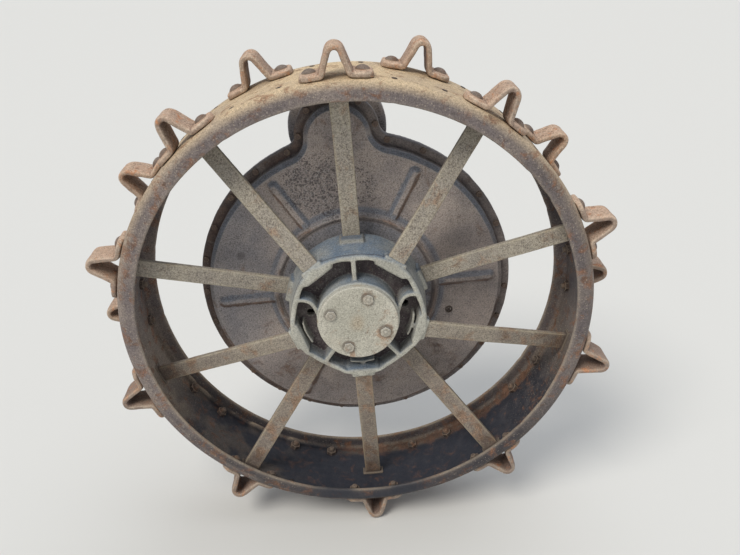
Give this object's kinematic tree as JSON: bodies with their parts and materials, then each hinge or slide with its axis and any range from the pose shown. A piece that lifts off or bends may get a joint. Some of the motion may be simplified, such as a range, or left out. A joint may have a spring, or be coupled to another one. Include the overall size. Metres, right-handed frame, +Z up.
{
  "type": "lugged steel tractor wheel on its final drive case",
  "caption": "Steel rear wheel of an old farm tractor with strap lugs and crossed flat spokes, turning on the axle of a cast final drive case.",
  "frame": {"origin": "centre of the round machined mounting face on the inboard side of the final drive case, on the axis of the drive pinion's bore", "axes": "+Z up, +Y inboard along the wheel's axis, away from the wheel and into the vehicle, +X to the right when the wheel is seen from outboard"},
  "size_m": [1.0902, 0.275, 1.0902],
  "materials": {
    "rusted_rim": "weathered mild steel with thin warm rust",
    "rusted_lug": "weathered mild steel with orange rust, worn pale on the edges",
    "spoke_bar": "flat bar with old grey paint worn to speckled rust",
    "hub_casting": "rough sand casting with dusty tan-grey rust",
    "cap_plate": "pale weathered cap with orange patches",
    "case_casting": "grey-brown sand casting with oil-dark speckle",
    "bolt_steel": "rusted bolts and plugs",
    "axle_steel": "turned steel, dull",
    "gear_steel": "oiled cut gear"
  },
  "bodies": {
    "gear_case": {"case_cover": "case_casting", "case_back": "case_casting", "case_bolts": "bolt_steel", "drain_plug": "bolt_steel", "level_plug": "bolt_steel"},
    "wheel": {"axle": "axle_steel", "bull_gear": "gear_steel", "hub": "hub_casting", "hub_cap": "cap_plate", "cap_bolts": "bolt_steel", "rim": "rusted_rim", "spoke_1": "spoke_bar", "spoke_2": "spoke_bar", "spoke_3": "spoke_bar", "spoke_4": "spoke_bar", "spoke_5": "spoke_bar", "spoke_6": "spoke_bar", "spoke_7": "spoke_bar", "spoke_8": "spoke_bar", "spoke_9": "spoke_bar", "spoke_10": "spoke_bar", "lug_1": "rusted_lug", "lug_2": "rusted_lug", "lug_3": "rusted_lug", "lug_4": "rusted_lug", "lug_5": "rusted_lug", "lug_6": "rusted_lug", "lug_7": "rusted_lug", "lug_8": "rusted_lug", "lug_9": "rusted_lug", "lug_10": "rusted_lug", "lug_11": "rusted_lug", "lug_12": "rusted_lug", "lug_13": "rusted_lug", "lug_14": "rusted_lug", "lug_15": "rusted_lug", "lug_16": "rusted_lug", "lug_17": "rusted_lug", "lug_18": "rusted_lug", "lug_19": "rusted_lug", "lug_20": "rusted_lug"}
  },
  "joints": [
    {"name": "wheel_spin", "type": "hinge", "parent": "gear_case", "child": "wheel", "pos_m": [0.032, -0.16, -0.337], "axis": [0, 1, 0], "continuous": true}
  ]
}
